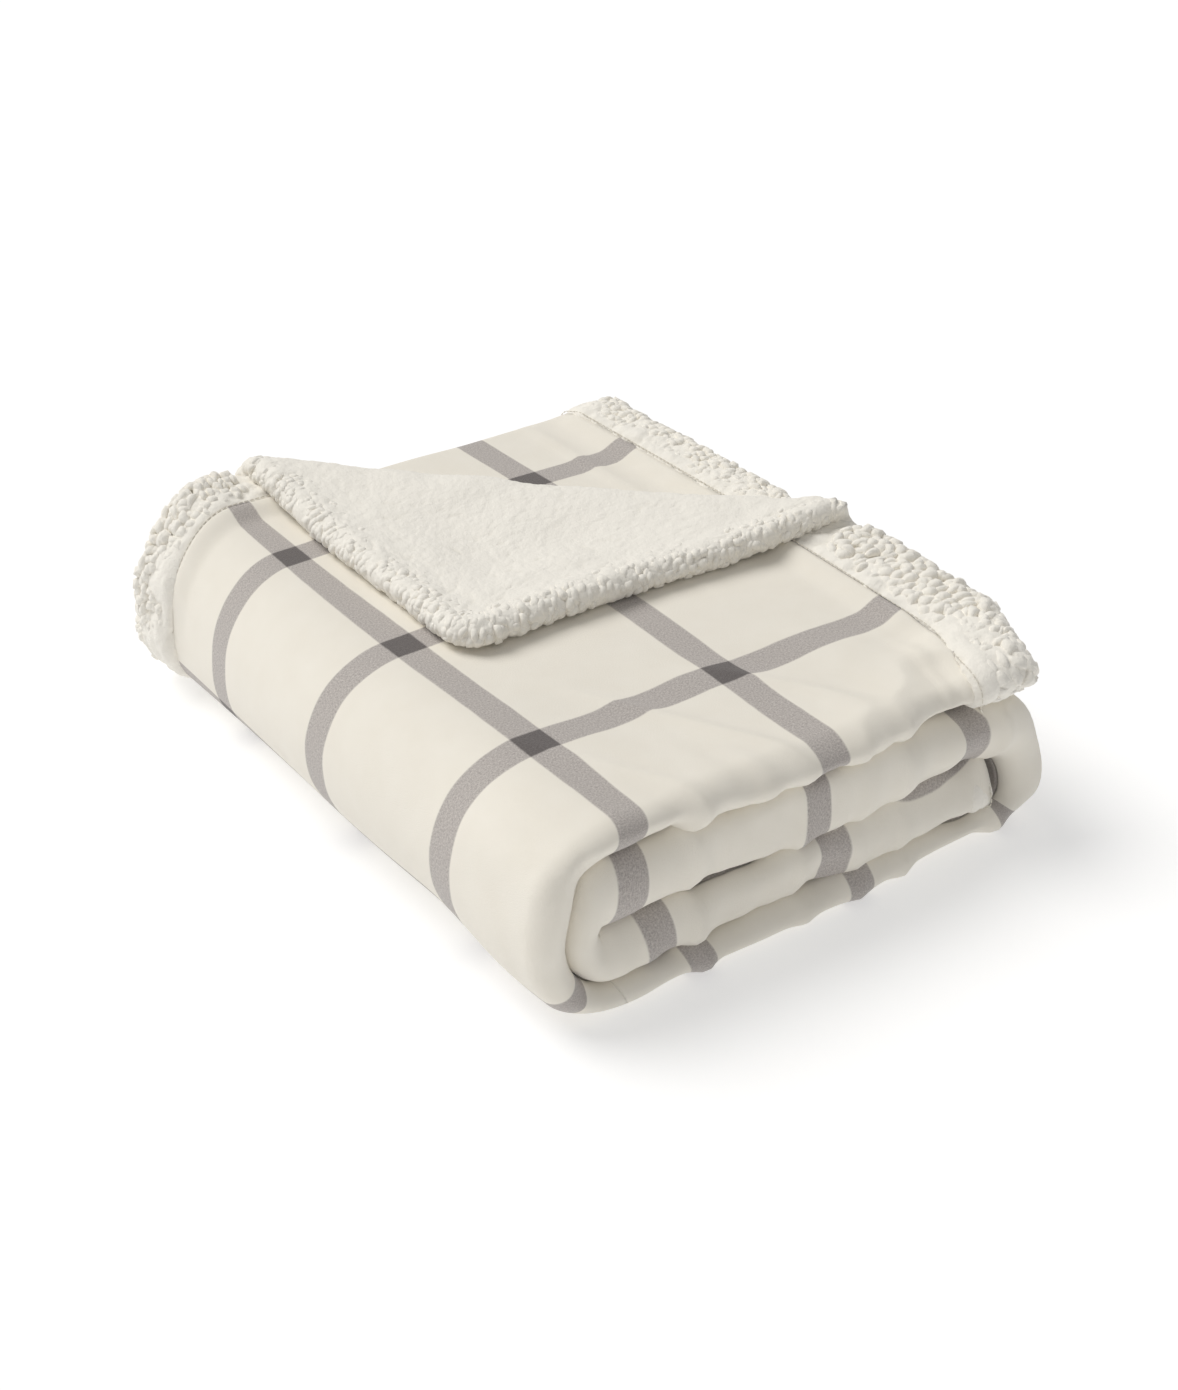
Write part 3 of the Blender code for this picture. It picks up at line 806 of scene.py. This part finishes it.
def locks(name, put, length, starts, seed, size=1.0, fade=(0.004, 0.021)):
    """Rows of locks along an edge. put(walk, inward, height) lays a point near it.

    starts says how far over the edge each row lies. Between the two distances of fade the locks sink into the
    combed pile."""
    arc = np.linspace(-1.5, math.pi / 2, 60)
    inward, height = EDGE_ROUND * (1 - np.cos(arc)), HALF * np.sin(arc)
    walked = np.concatenate([[0], np.cumsum(np.hypot(np.diff(inward), np.diff(height)))])
    walked -= np.interp(0, arc, walked)
    walked = np.append(walked, walked[-1] + 1)
    inward = np.append(inward, inward[-1] + 1)
    height = np.append(height, HALF)
    each = int(length / (LOCK_PITCH * size))
    i, row = np.meshgrid(np.arange(each), np.arange(len(starts)), indexing="ij")
    i, row = i.reshape(-1, 1, 1), row.reshape(-1, 1, 1)

    def chance(k):
        return hashed(i, row, i * 0 + k, seed)

    def pick(line, distance):
        return np.interp(distance, walked, line)

    first = (i + 0.5 * (row % 2) + 0.8 * (chance(1) - 0.5)) * length / each
    middle = np.asarray(starts)[row] + 0.005 * (chance(2) - 0.5)
    long = size * (LOCK_LENGTH + MORE_LENGTH * chance(3))
    wide = size * (LOCK_WIDTH + MORE_WIDTH * chance(4))
    aim = LOCK_TURN * (chance(5) - 0.5)
    s = np.linspace(-1, 1, 8).reshape(1, -1, 1)
    turn = np.linspace(0, 2 * math.pi, 7)[:-1].reshape(1, 1, -1)
    girth = wide * (1 - 0.96 * s ** 2) ** 0.5
    forward = 0.5 * long * s
    side = girth * np.cos(turn) + LOCK_WAVE * size * np.sin(2.5 * s + 6.3 * chance(6))
    proud = 0.0009 - 0.0030 * step(*fade, middle) + 0.0014 * (chance(7) - 0.5) - 0.0010 * s ** 2
    up = 0.8 * girth * np.sin(turn) + size * proud
    walk = first + forward * np.sin(aim) + side * np.cos(aim)
    at = np.maximum(middle - forward * np.cos(aim) + side * np.sin(aim), walked[0] + 0.0005)
    slope_in = pick(inward, at + 0.0004) - pick(inward, at - 0.0004)
    slope_up = pick(height, at + 0.0004) - pick(height, at - 0.0004)
    slope = np.hypot(slope_in, slope_up)
    rings = put(walk, pick(inward, at) - up * slope_up / slope, pick(height, at) + up * slope_in / slope)
    # The pile value is highest on each lock's top and lowest underneath, so the material paints shade under
    # each lock.
    return strands(name, rings, 0.66 + 0.34 * np.sin(turn) + 0 * at)


def rim(walk, inward):
    """Beyond and aside of a point near the corner's edge, for a walk round it from one end of the fold."""
    v = walk - rim_length / 2
    bend = np.clip(v / TIP_ROUND, -math.pi / 4, math.pi / 4)
    run = v - bend * TIP_ROUND
    beyond = tip_centre + (TIP_ROUND - inward) * np.cos(bend) - np.abs(run) / ROOT2
    aside = (TIP_ROUND - inward) * np.sin(bend) + run / ROOT2
    return beyond, aside


def over_rim(walk, inward, height):
    beyond, aside = rim(walk, inward)
    return lay_corner(beyond, aside, (PILE - CORNER_PUFF) / 2 + height)


def over_hem(place, start, puff):
    """A way to put locks on a hem: place lays the hem, and puff is its height over the print."""
    def put(walk, inward, height):
        high = puff(start + walk)
        return place(start + walk, inward, (PILE - high) / 2 - height * (PILE + high) / 2 / HALF)
    return put


# %% [markdown]
# Rows of locks go where the pile shows: round the turned corner, on the two hems of the top layer and on
# the back of the stack.

# %% the four edges with locks
HEM_ROWS = (-0.005, 0.0, 0.005, 0.010, 0.015, 0.020, 0.025, 0.030)
CORNER_ROWS = (-0.0045, 0.0, 0.0045, 0.009, 0.0135, 0.018)
STACK_ROWS = (-0.004, 0.002, 0.008, 0.014, 0.020)

rim_length = (tip_centre + TIP_ROUND / ROOT2 - fold_length) * 2 * ROOT2 + TIP_ROUND * math.pi / 2
over_back = over_hem(lay, CORNER_LEG + 0.004, outside_left)
over_end = over_hem(lay_end, CORNER_LEG + 0.006, end_puff)
over_stack = over_hem(lay, b2, outside_right)
corner_locks = locks("corner_locks", over_rim, rim_length, CORNER_ROWS, 61)
back_locks = locks("top_back_locks", over_back, b2 - CORNER_LEG - 0.01, HEM_ROWS, 62, 1.25, (0.004, 0.040))
end_locks = locks("right_hem_locks", over_end, w5 - CORNER_LEG - 0.02, HEM_ROWS, 63, 1.2, (0.012, 0.046))
stack_locks = locks("stack_back_locks", over_stack, b7 - b2 - 0.02, STACK_ROWS, 64, 1.4, (0.010, 0.040))

# %% [markdown]
# ## Stitches
# One row of thread holds the turned hem to the print. Each stitch is a short capsule that follows the seam.

# %% sew along a line of points
STITCH, PITCH, THREAD = 0.0028, 0.0036, 0.00035
ON_CLOTH = 0.0004       # the thread lies just over the print, just past the seam


def sew(name, line):
    """A row of stitches along a line of points."""
    gaps = np.linalg.norm(np.diff(line, axis=0), axis=1)
    walked = np.concatenate([[0], np.cumsum(gaps)])
    starts = np.arange(0, walked[-1] - STITCH, PITCH)

    def at(distance):
        return np.stack([np.interp(distance, walked, line[:, i]) for i in range(3)], -1)

    a, b = at(starts), at(starts + STITCH)
    way = (b - a) / np.linalg.norm(b - a, axis=1, keepdims=True)
    side = np.cross(way, [0.31, 0.2, 0.93])
    side /= np.linalg.norm(side, axis=1, keepdims=True)
    up = np.cross(way, side)
    turn = np.linspace(0, 2 * math.pi, 7)[:-1]
    profile = ((0.0, 0.35), (0.15, 1.0), (0.85, 1.0), (1.0, 0.35))
    circle = np.cos(turn)[None, :, None] * side[:, None] + np.sin(turn)[None, :, None] * up[:, None]
    rings = [a[:, None] + (b - a)[:, None] * share + THREAD * girth * circle for share, girth in profile]
    return strands(name, np.stack(rings, 1))


def raised(along, across):
    return lay(along, across, -onto_hem(along, across) - ON_CLOTH)


def ramp(a, b):
    return a + (b - a) * np.linspace(0, 1, 1500)


def corner_seam(share, side):
    """One side of the corner's seam, from the fold at share 0 to the tip at share 1."""
    past = (corner_tip - fold_length) * share
    aside = side * (CORNER_LEG / ROOT2 - HEM * ROOT2 - fold_length - past)
    return lay_corner(fold_length + past, aside, 0 * share - ON_CLOTH)


across = ramp(CORNER_LEG - SEAM_ALONG, END)
share = ramp(0, 1)
top_back_thread = sew("top_back_thread", raised(ramp(CORNER_LEG - HEM, b2), HEM + ON_CLOTH))
top_end_thread = sew("right_hem_thread", raised(seam_along(across) + ON_CLOTH, across))
stack_back_thread = sew("stack_back_thread", raised(ramp(b2, hem_stop), HEM + ON_CLOTH))
third_end_thread = sew("third_layer_thread", raised(b7 - 0.0016, ramp(HEM, END)))
corner_thread = sew("corner_thread", np.concatenate([corner_seam(share, -1), corner_seam(share[::-1], 1)]))

# %% [markdown]
# ## Shader maths
# A socket wrapped in a small class lets a shader be written as sums. Numbers become Math nodes, while
# colours and vectors go through Mix and Vector Math.

# %% a socket that can be added and multiplied
class Wire:
    def __init__(self, tree, socket):
        self.tree, self.socket = tree, socket

    def node(self, kind, values=None, out=0, **settings):
        n = self.tree.nodes.new(kind)
        for key, value in settings.items():
            setattr(n, key, value)
        for key, value in (values or {}).items():
            if isinstance(value, Wire):
                self.tree.links.new(value.socket, n.inputs[key])
            else:
                n.inputs[key].default_value = value
        return Wire(self.tree, n.outputs[out])

    def math(self, operation, *others):
        return self.node("ShaderNodeMath", dict(enumerate((self, *others))), operation=operation)

    def __add__(self, other):
        return self.math("ADD", other)

    def __mul__(self, other):
        return self.math("MULTIPLY", other)

    def __sub__(self, other):
        return self.math("SUBTRACT", other)

    def __rsub__(self, other):
        return self.node("ShaderNodeMath", {0: other, 1: self}, operation="SUBTRACT")

    __radd__ = __add__
    __rmul__ = __mul__

    def smooth(self, a, b):
        """0 below a, 1 above b, and a smooth slope between."""
        ends = {"Value": self, "From Min": a, "From Max": b, "To Min": 0.0, "To Max": 1.0}
        return self.node("ShaderNodeMapRange", ends, interpolation_type="SMOOTHSTEP")

    def mix(self, a, b):
        """Colour a where this is 0, colour b where it is 1."""
        return self.node("ShaderNodeMix", {"Factor": self, 6: a, 7: b}, out=2, data_type="RGBA")

    def scaled(self, x, y, z=1.0):
        return self.node("ShaderNodeVectorMath", {0: self, 1: (x, y, z)}, operation="MULTIPLY")

    def noise(self, scale, detail=2.0, rough=0.5):
        values = {"Vector": self, "Scale": scale, "Detail": detail, "Roughness": rough}
        return self.node("ShaderNodeTexNoise", values)

    def bump(self, strength, distance):
        """The normal of a surface with this height."""
        return self.node("ShaderNodeBump", {"Strength": strength, "Distance": distance, "Height": self})


def material(name, **values):
    """A new material, its shader, and a wire to start its nodes from."""
    m = bpy.data.materials.new(name)
    m.use_nodes = True
    shader = m.node_tree.nodes["Principled BSDF"]
    for key, value in values.items():
        shader.inputs[key.replace("_", " ")].default_value = value
    return m, shader, Wire(m.node_tree, None)


def connect(shader, **wires):
    for key, wire in wires.items():
        wire.tree.links.new(wire.socket, shader.inputs[key.replace("_", " ")])


def srgb(code):
    """A colour from its usual six-digit code."""
    parts = [int(code[i:i + 2], 16) / 255 for i in (0, 2, 4)]
    return (*[c / 12.92 if c < 0.04045 else ((c + 0.055) / 1.055) ** 2.4 for c in parts], 1.0)


# %% [markdown]
# The print is cream with stripes of heathered grey, and where two stripes cross the cloth is darker. Each
# stripe is a mask across the squares of the pattern, with edges that waver a little, as in a brushed cloth.

# %% the printed weave
STRIPE_HALF = 0.0092        # half a stripe's width
STRIPE_SOFT = 0.006         # how soft its edges are, and how much they waver, in squares
print_cloth, shader, start = material("printed_weave", Roughness=0.88, Sheen_Weight=0.25, Sheen_Roughness=0.6)
uv = start.node("ShaderNodeUVMap", uv_map="cloth")
parts = start.node("ShaderNodeSeparateXYZ", {0: uv})
u = Wire(parts.tree, parts.socket.node.outputs[0])
v = Wire(parts.tree, parts.socket.node.outputs[1])
wobble = uv.noise(9.0, 2.0) - 0.5


def stripe(place):
    """1 on a stripe, 0 between stripes."""
    off = (place + wobble * STRIPE_SOFT + 0.5).math("FRACT") - 0.5
    half = STRIPE_HALF / SQUARE
    return 1 - off.math("ABSOLUTE").smooth(half - STRIPE_SOFT, half + STRIPE_SOFT)


lengthways, crossways = stripe(u), stripe(v)
both = lengthways * crossways
either = lengthways + crossways - both
warp = uv.scaled(1.0, 0.16).noise(420.0, 2.0, 0.6)
weft = uv.scaled(0.16, 1.0).noise(420.0, 2.0, 0.6)
threads = warp * 0.5 + weft * 0.5
heather = (uv.noise(120.0, 3.0, 0.7) + threads).math("MULTIPLY", 0.5).smooth(0.36, 0.64)
cream = uv.noise(6.0, 2.0).mix(srgb("ECE6D9"), srgb("F2EDE2"))
grey = heather.mix(srgb("9A928E"), srgb("CBC5BF"))
dark = heather.mix(srgb("4B4543"), srgb("6A6361"))
striped = either.mix(cream, grey)
colour = both.mix(striped, dark)
relief = threads + heather * 0.3
connect(shader, Base_Color=colour, Normal=relief.bump(0.35, 0.0006))
print("nodes in the weave:", len(print_cloth.node_tree.nodes))

# %% [markdown]
# The pile is off-white and nearly matt. The creases between the tufts and the underside of each lock get
# painted shade, a slightly darker colour, and a fine bump stands for the single hairs, which are too thin to
# model.

# %% the curly pile
sherpa, shader, start = material("sherpa_pile", Roughness=0.95, Sheen_Weight=0.25, Sheen_Roughness=0.5)
pile = start.node("ShaderNodeAttribute", out=2, attribute_name="pile")
place = start.node("ShaderNodeTexCoord", out=3)
fuzz = place.noise(420.0, 3.0, 0.65)
lumps = place.noise(150.0, 2.0, 0.5)
# Painted shade: darker colour where the pile attribute is low, in the creases and under each lock, mixed with
# random lumps of tone.
painted_shade_and_mottle = (pile * 0.75 + lumps * 0.35).smooth(0.1, 0.75)
relief = fuzz + lumps * 0.6
connect(shader, Base_Color=painted_shade_and_mottle.mix(srgb("E0DBCE"), srgb("F4F0E7")), Normal=relief.bump(0.5, 0.0014))
print("nodes in the pile:", len(sherpa.node_tree.nodes))

# %% the hidden backing and the thread
backing_cloth, shader, start = material("sherpa_backing", Roughness=0.95, Sheen_Weight=0.3)
place = start.node("ShaderNodeTexCoord", out=3)
fur = place.noise(240.0, 3.0, 0.6)
connect(shader, Base_Color=fur.mix(srgb("DAD5C7"), srgb("F1EEE4")), Normal=fur.bump(0.8, 0.002))
thread, shader, start = material("stitching_thread", Roughness=0.7, Sheen_Weight=0.2)
place = start.node("ShaderNodeTexCoord", out=3)
strand = place.noise(900.0, 1.0)
connect(shader, Base_Color=strand.mix(srgb("CFC9BB"), srgb("E6E1D5")))
print("materials:", [m.name for m in bpy.data.materials][-4:])

# %% [markdown]
# ## Joining the pieces to the frame
# Most pieces ride on one body. The cloth that bends round the left wrap, between the lower stack and the top
# layer, and the cloth of the diagonal fold, between the top layer and the corner, are not attached to a body:
# their place is baked into their points.

# %% bodies, slots and replaced solids
reach = left_inner / 2
wrap_start = (left_x - reach, 0, middle_z - reach)
wrap_end = (left_x + reach, 0, middle_z + reach)
UNROLL = ("lower_stack", "top_layer", wrap_start, wrap_end)
TURN = ("top_layer", "corner", (0, 0, stack_top - PLY), (0, 0, stack_top + PLY))
STACK = ("bottom", "right_wrap", "second", "inner_wrap", "third")
TOP = ("top", "left_wrap")


def names(parts, ends):
    """The CAD nodes of these parts: each part has a face, a sherpa and so on."""
    return [f"{p}_{e}" for p in parts for e in ends]


rows = (
    (top_upper, print_cloth, "printed_face", UNROLL, names(TOP, ["face"])),
    (top_under, print_cloth, "printed_face", UNROLL, names(TOP, ["face"])),
    (top_backing, backing_cloth, "sherpa", UNROLL, names(TOP, ["sherpa"])),
    (top_back_hem, sherpa, "sherpa", UNROLL, names(TOP, ["sherpa"])),
    (top_inner_hem, sherpa, "sherpa", UNROLL, names(TOP, ["sherpa"])),
    (top_end_hem, sherpa, "sherpa", "top_layer", ["top_end_hem"]),
    (back_locks, sherpa, "sherpa", UNROLL, names(TOP, ["sherpa"])),
    (end_locks, sherpa, "sherpa", "top_layer", ["top_end_hem"]),
    (top_back_thread, thread, "stitching_thread", UNROLL, names(TOP, ["back_stitching"])),
    (top_end_thread, thread, "stitching_thread", "top_layer", ["top_end_stitching"]),
    (stack_upper, print_cloth, "printed_face", "lower_stack", names(STACK, ["face"])),
    (stack_under, print_cloth, "printed_face", "lower_stack", names(STACK, ["face"])),
    (stack_backing, backing_cloth, "sherpa", "lower_stack", names(STACK, ["sherpa"])),
    (stack_back_hem, sherpa, "sherpa", "lower_stack", names(STACK, ["sherpa"])),
    (stack_locks, sherpa, "sherpa", "lower_stack", names(STACK, ["sherpa"])),
    (stack_inner_hem, sherpa, "sherpa", "lower_stack", names(STACK, ["sherpa"])),
    (third_end_hem, sherpa, "sherpa", "lower_stack", ["third_end_hem"]),
    (stack_back_thread, thread, "stitching_thread", "lower_stack", names(STACK, ["back_stitching"])),
    (third_end_thread, thread, "stitching_thread", "lower_stack", ["third_end_stitching"]),
    (corner_under, print_cloth, "printed_face", "corner", ["corner_face"]),
    (corner_top, sherpa, "sherpa", "corner", ["corner_sherpa"]),
    (corner_locks, sherpa, "sherpa", "corner", ["corner_sherpa"]),
    (corner_thread, thread, "stitching_thread", "corner", ["corner_stitching"]),
    (corner_bend, print_cloth, "printed_face", TURN, ["corner_fold_face"]),
    (corner_roll, sherpa, "sherpa", TURN, ["corner_fold_sherpa"]),
)
known = set(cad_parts)
for piece, finish, slot, body, nodes in rows:
    piece.data.materials.append(finish)
    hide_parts(*[n for n in nodes if n in known])
    if isinstance(body, str):
        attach(piece, body)
    else:
        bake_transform(piece)
print("CAD nodes left showing:", sorted(n for n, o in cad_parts.items() if not o.hide_render))

# %% [markdown]
# ## The sheets
# The size each piece was cut to is worked out here. A corner is half of its rectangle, and a hem strip is
# measured as it lies folded.


cut_off = 0.5 * (CORNER_LEG - HEM - SEAM_ALONG) ** 2
b2 - SEAM_ALONG
w2 - HEM
(b2 - SEAM_ALONG) * (w2 - HEM) - cut_off
b2 - SEAM_ALONG
END - w2
backing_width = w5 - 2 * BACKING_INSET
backing_area = (b2 - BACKING_INSET) * backing_width - 0.5 * (CORNER_LEG - 2 * BACKING_INSET) ** 2
b2 - BACKING_INSET
PRINT_STOP - b2
w2 - HEM
PRINT_STOP - b2
END - w2
b7 - b2
b2 - CORNER_LEG + HEM / 2
b2 - SEAM_UNDER
w5 - CORNER_LEG + HEM / 2
b7 - b2
b7 - b2
leg = CORNER_LEG - fold_length * ROOT2
leg = leg - HEM * 2
print(f"the backing of the top layer was cut to {b2 - BACKING_INSET:.3f} x {backing_width:.3f} m")

# %% [markdown]
# ## Camera, floor and light
# The throw lies on a pale floor in a bright room. A large soft light comes from the upper left and behind,
# an even white sky and one weak lamp at the front left fill the rest, and the floor glows a little so that
# it stays white. A wide sun is used for the soft light, because it falls evenly and its softness is one
# number.

# %% the view
AZIMUTH, ELEVATION = math.radians(-36.196), math.radians(31.217)
FOCAL_SHARE = 2400 / 1390       # focal length, as a share of the frame's height
FILM = 36
DISTANCE, TO_RIGHT, UP = 1.23564, 0.02964, 0.11244
level = math.cos(ELEVATION)
away = Vector((math.sin(AZIMUTH) * level, -math.cos(AZIMUTH) * level, math.sin(ELEVATION)))
sideways = Vector((0, 0, 1)).cross(away).normalized()
upwards = away.cross(sideways)
stripe_crossing = Vector((-0.1093, -0.1223, 0))
camera_data = bpy.data.cameras.new("camera")
camera_data.lens = FILM * FOCAL_SHARE
camera_data.sensor_width = FILM
camera = bpy.data.objects.new("camera", camera_data)
bpy.context.scene.collection.objects.link(camera)
camera.location = stripe_crossing + away * DISTANCE + sideways * TO_RIGHT + upwards * UP
camera.rotation_euler = away.to_track_quat("Z", "Y").to_euler()
bpy.context.scene.camera = camera
print(f"the camera stands {DISTANCE:.2f} m from the cloth, {math.degrees(ELEVATION):.0f} degrees up")

# %% floor and lights
FLOOR_REACH, FLOOR_LEVEL, FLOOR_GLOW = 6, -0.0005, 0.42
SUN_POWER, SUN_SOFTNESS = 2.12, math.radians(38)
SUN_FROM = Vector((-0.50, 0.85, 1.35))
SKY_POWER = 0.36
corners = [(x * FLOOR_REACH, y * FLOOR_REACH, FLOOR_LEVEL) for x, y in ((-1, -1), (1, -1), (1, 1), (-1, 1))]
floor_mesh = bpy.data.meshes.new("floor")
floor_mesh.from_pydata(corners, [], [(0, 1, 2, 3)])
floor = bpy.data.objects.new("floor", floor_mesh)
bpy.context.scene.collection.objects.link(floor)
floor_paint, shader, start = material("floor_paint", Roughness=0.9, Emission_Color=(1, 1, 1, 1),
                                      Emission_Strength=FLOOR_GLOW)
patches = start.node("ShaderNodeTexCoord", out=3).noise(3.0)
connect(shader, Base_Color=patches.mix((0.66, 0.66, 0.66, 1), (0.68, 0.68, 0.68, 1)))
floor.data.materials.append(floor_paint)


def area_light(name, place, target, size, power, tint=(1, 1, 1)):
    data = bpy.data.lights.new(name, "AREA")
    data.energy = power
    data.size = size
    data.color = tint
    lamp = bpy.data.objects.new(name, data)
    bpy.context.scene.collection.objects.link(lamp)
    lamp.location = place
    lamp.rotation_euler = (Vector(place) - Vector(target)).to_track_quat("Z", "Y").to_euler()


sun_data = bpy.data.lights.new("key", "SUN")
sun_data.energy = SUN_POWER
sun_data.angle = SUN_SOFTNESS
sun_data.color = (1.0, 0.985, 0.96)
sun = bpy.data.objects.new("key", sun_data)
bpy.context.scene.collection.objects.link(sun)
sun.rotation_euler = SUN_FROM.to_track_quat("Z", "Y").to_euler()
area_light("fill", (-1.0, -1.7, 1.0), (0, 0, 0.05), 1.6, 2)
world = bpy.data.worlds.new("world")
bpy.context.scene.world = world
world.use_nodes = True
sky = world.node_tree.nodes["Background"]
sky.inputs["Color"].default_value = (1, 1, 1, 1)
sky.inputs["Strength"].default_value = SKY_POWER
bpy.context.scene.view_settings.view_transform = "Standard"
